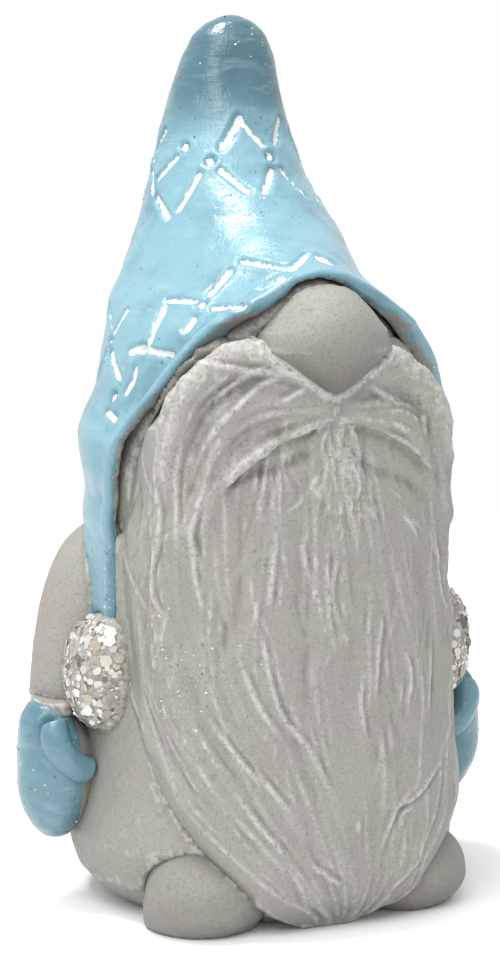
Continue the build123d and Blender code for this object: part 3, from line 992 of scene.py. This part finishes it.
dent = np.linalg.norm((hat.points - on_hat(-8, 187)) / (5, 5, 8), axis=1)
hat.push(-1.3 * bell(dent, 1.0))
groove = np.full(len(hat.points), 9.0)
for start, end in HAT_STROKES:
    path = np.array([on_hat(*point) for point in np.linspace(start, end, 12)])
    width = rng.uniform(0.62, 0.95)
    groove = np.minimum(groove, distance_along(hat.points, path) / width)
hat.push(0.22 * bell(groove - 2.2, 0.7) - 0.75 * bell(groove, 1.1))
rings = np.full(len(hat.points), 9.0)
for dot in HAT_DOTS:
    rings = np.minimum(rings, np.linalg.norm(hat.points - on_hat(*dot), axis=1))
hat.push(0.3 * bell(rings - 2.0, 0.6) - 0.6 * bell(rings - 1.1, 0.6))
hat.marks["bare"] = underside
hat.marks["shade"] = 0.25 * underside
# The tip's paint is darker, partly a deeper blue and partly painted shade
hat.marks["darkened"] = smoothstep(168, 186, hat.points[:, 2])
hat.marks["fill"] = np.clip(1 - np.minimum(groove, rings) / 2, 0, 1)
hat.pits(16, 62)
hat.finish(PAINT)

for side_name, side in SIDES.items():
    flap = Clay(f"ear_flap_{side_name}", 0.45, soften=8)
    flap.seal(["coat", "beard", f"pompom_{side_name}"])
    # Its top runs on upwards inside the hat
    top = smoothstep(flap_high[2] - 2.5, flap_high[2] - 0.5, flap.points[:, 2])
    flap.points += top[:, None] * (-1.3 * side, 2.2, 3)
    flap.lumps(71, 0.3)
    flap.finish(PAINT)

    mitten_low, mitten_high = corners(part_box(f"mitten_{side_name}"))
    thumb = Clay(f"thumb_{side_name}", 0.4, soften=8)
    hand = (mitten_low + mitten_high) / 2 * (1, 1, 0)
    thumb.points[:, :2] += 0.16 * (hand - thumb.points)[:, :2]
    thumb.seal(["coat", f"mitten_{side_name}", f"cuff_{side_name}"])
    thumb.lumps(73, 0.35)
    # The thumb's blue is darker all over
    thumb.marks["darkened"] = np.full(len(thumb.points), 0.45)
    thumb.finish(PAINT)

    mitten = Clay(f"mitten_{side_name}", 0.5, soften=6)
    mitten.seal(["coat", f"thumb_{side_name}", f"cuff_{side_name}", f"sleeve_{side_name}"])
    shoulder = smoothstep(34, 43, mitten.points[:, 2])[:, None]
    mitten.points += (0, 0, 1.4) + shoulder * (1.3 * side, 0, 0.6)
    mitten.lumps(75, 0.5)
    # The mitten's blue is darker all over
    mitten.marks["darkened"] = np.full(len(mitten.points), 0.55)
    # The paint stops short of the coat
    mitten.marks["bare"] = smoothstep(47.5, 44.0, side * mitten.points[:, 0])
    mitten.finish(PAINT)

# -------------------- glitter


def flakes(name, spots, normals, sizes, thickness, tilt, material):
    """One piece of closed hexagonal foil plates, lying on a surface at slightly odd angles."""
    count = len(spots)
    up = normals + tilt * rng.normal(size=(count, 3))
    up /= np.linalg.norm(up, axis=1)[:, None]
    across = np.cross(up, rng.normal(size=(count, 3)))
    across /= np.linalg.norm(across, axis=1)[:, None]
    along = np.cross(up, across)
    turn = np.arange(6) * np.pi / 3
    ring = np.cos(turn)[:, None] * across[:, None] + np.sin(turn)[:, None] * along[:, None]
    ring = ring * sizes[:, None, None] / 2
    base = spots[:, None] + ring
    top = base + up[:, None] * thickness
    points = np.concatenate([base, top], 1).reshape(-1, 3)
    faces = []
    for start in range(0, 12 * count, 12):
        faces.append([start + i for i in (5, 4, 3, 2, 1, 0)])
        faces.append([start + 6 + i for i in range(6)])
        for i in range(6):
            after = (i + 1) % 6
            faces.append([start + i, start + after, start + 6 + after, start + 6 + i])
    mesh = bpy.data.meshes.new(name)
    mesh.from_pydata((points * MM).tolist(), [], faces)
    tint = mesh.attributes.new("tint", "FLOAT", "POINT")
    tint.data.foreach_set("value", np.repeat(rng.random(count), 12).astype(np.float32))
    mesh.materials.append(material)
    piece = bpy.data.objects.new(name, mesh)
    bpy.context.collection.objects.link(piece)
    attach(piece, "root")


def spread(points, weights, sizes, gap):
    """Which points get a flake: drawn by weight, no two nearer than gap times their sizes."""
    chosen, kept = [], []
    order = rng.choice(len(points), min(len(points), 6 * len(sizes)), p=weights / weights.sum())
    for i in order:
        if len(chosen) == len(sizes):
            break
        size = sizes[len(chosen)]
        reach = [gap * (size + sizes[j]) / 2 for j in range(len(chosen))]
        if not chosen or np.all(np.linalg.norm(points[kept] - points[i], axis=1) > reach):
            chosen.append(size)
            kept.append(i)
    return np.array(kept), np.array(chosen)


for side_name, side in SIDES.items():
    pompom = Clay(f"pompom_{side_name}", 0.5, soften=3)
    # The ball bulges forward a little, over the beard's edge
    pompom.points += smoothstep(4, -8, pompom.points[:, 1])[:, None] * (-0.8 * side, -2.6, 0)
    pompom.seal(["coat", "beard", f"ear_flap_{side_name}"])
    pompom.lumps(81, 0.7, 0.25)
    wanted = np.sort(rng.gamma(3.0, 0.42, 330).clip(0.5, 2.9))[::-1]
    in_open = smoothstep(0.15, 0.4, 1 - pompom.marks["seam"])
    kept, sizes = spread(pompom.points, in_open + 1e-6, wanted, 0.62)
    flow = pompom.normals()[kept]
    spots = pompom.points[kept] + 0.05 * flow
    flakes(f"glitter_flakes_{side_name}", spots, flow, sizes, thickness=0.12, tilt=0.22, material=FLAKE)
    pompom.finish(BED)


def dust(name, node, count, weight):
    """Fine stray glitter on a finished piece."""
    mesh = bpy.data.objects["gnome_" + node].data
    points, normals = vectors(mesh.vertices, "co") / MM, vectors(mesh.vertex_normals, "vector")
    sizes = rng.uniform(0.3, 0.62, count)
    kept, sizes = spread(points, weight(points) + 1e-9, sizes, 1.0)
    flakes(name, points[kept], normals[kept], sizes, thickness=0.08, tilt=0.45, material=DUST)


for side_name in SIDES:
    dust(f"dust_flap_{side_name}", f"ear_flap_{side_name}", 90, lambda p: bell(p[:, 1] + 7.6, 2.2))
    dust(f"dust_mitten_{side_name}", f"mitten_{side_name}", 60, lambda p: bell(p[:, 2] - 36, 14))
    dust(f"dust_cuff_{side_name}", f"cuff_{side_name}", 40, lambda p: np.ones(len(p)))
dust("dust_hat", "hat", 120, lambda p: 0.2 + 6 * bell(p[:, 2] - HAT_TIP, 9))
dust("dust_beard", "beard", 90, lambda p: bell(np.linalg.norm(p - (-31, -28, 58), axis=1), 9))

# -------------------- floor, light and camera

# Lengths from here on are in metres
FLOOR_REACH = 0.45
floor_corners = [(FLOOR_REACH * x, FLOOR_REACH * y, 0) for x, y in [(-1, -1), (1, -1), (1, 1), (-1, 1)]]
floor_mesh = bpy.data.meshes.new("floor")
floor_mesh.from_pydata(floor_corners, [], [(0, 1, 2, 3)])
floor = bpy.data.objects.new("floor", floor_mesh)
bpy.context.collection.objects.link(floor)
floor_nodes = Nodes("pale_floor")
floor_nodes.shader.inputs["Base Color"].default_value = (0.86, 0.86, 0.86, 1)
floor_nodes.shader.inputs["Roughness"].default_value = 0.9
floor_mesh.materials.append(floor_nodes.material)

world = bpy.data.worlds.new("studio")
world.use_nodes = True
world.node_tree.nodes["Background"].inputs["Color"].default_value = (1, 1, 1, 1)
world.node_tree.nodes["Background"].inputs["Strength"].default_value = 1.0
scene = bpy.context.scene
scene.world = world
scene.view_settings.view_transform = "Standard"


def softbox(name, place, size, power):
    light = bpy.data.lights.new(name, "AREA")
    light.shape = "RECTANGLE"
    light.size, light.size_y = size
    light.energy = power
    lamp = bpy.data.objects.new(name, light)
    lamp.location = place
    lamp.rotation_euler = (Vector((0, 0, 0.1)) - Vector(place)).to_track_quat("-Z", "Y").to_euler()
    bpy.context.collection.objects.link(lamp)


softbox("overhead", (-0.20, 0.08, 0.95), (0.24, 0.30), 8.0)
softbox("key", (-0.45, -0.55, 0.85), (0.7, 0.6), 7.0)

# The camera looks slightly down at the figure's right front
BEARING, TILT, DISTANCE = np.radians(-24), np.radians(8), 0.6
target = Vector((0, 0, 0.1))
backward = Vector(
    (np.sin(BEARING) * np.cos(TILT), -np.cos(BEARING) * np.cos(TILT), np.sin(TILT))
)
camera_data = bpy.data.cameras.new("camera")
camera_data.lens = 97.9
camera_data.shift_x = -0.0154
camera_data.shift_y = -0.0283
camera = bpy.data.objects.new("camera", camera_data)
camera.location = target + backward * DISTANCE
camera.rotation_euler = backward.to_track_quat("Z", "Y").to_euler()
bpy.context.collection.objects.link(camera)
scene.camera = camera
